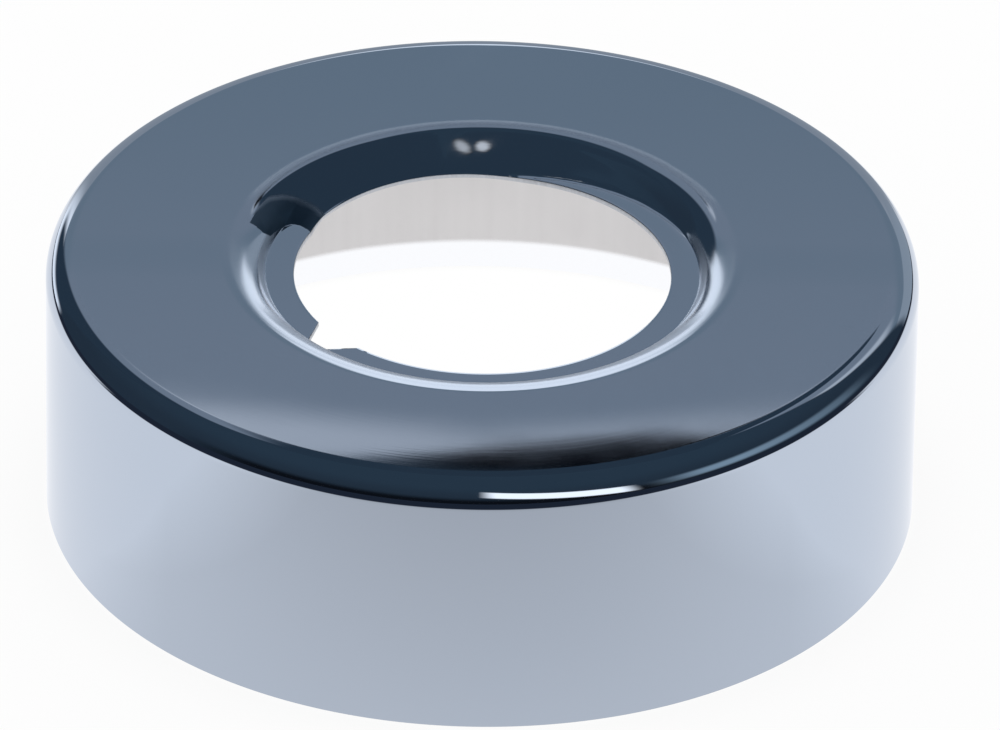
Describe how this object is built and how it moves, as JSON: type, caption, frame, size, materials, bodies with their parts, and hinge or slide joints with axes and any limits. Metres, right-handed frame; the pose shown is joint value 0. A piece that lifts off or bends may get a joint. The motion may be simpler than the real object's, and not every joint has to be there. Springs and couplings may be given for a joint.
{
  "type": "radiator pipe collar",
  "caption": "Deep round chrome collar: a pressed cup, open at the wall side, with a sunk and notched pipe hole in its flat face. It hides the gap where a heating pipe leaves a wall or floor.",
  "frame": {"origin": "middle of the open rim, in the plane where it meets the wall or floor", "axes": "+Z along the pipe's axis, from the rim to the flat face with the pipe hole; +X and +Y across, with the notch in the ledge on the -X -Y side"},
  "size_m": [0.0624, 0.0624, 0.02],
  "materials": {
    "chrome_plate": "bright mirror chrome plate on pressed sheet steel"
  },
  "bodies": {
    "root": {"pipe_collar": "chrome_plate"}
  },
  "joints": []
}
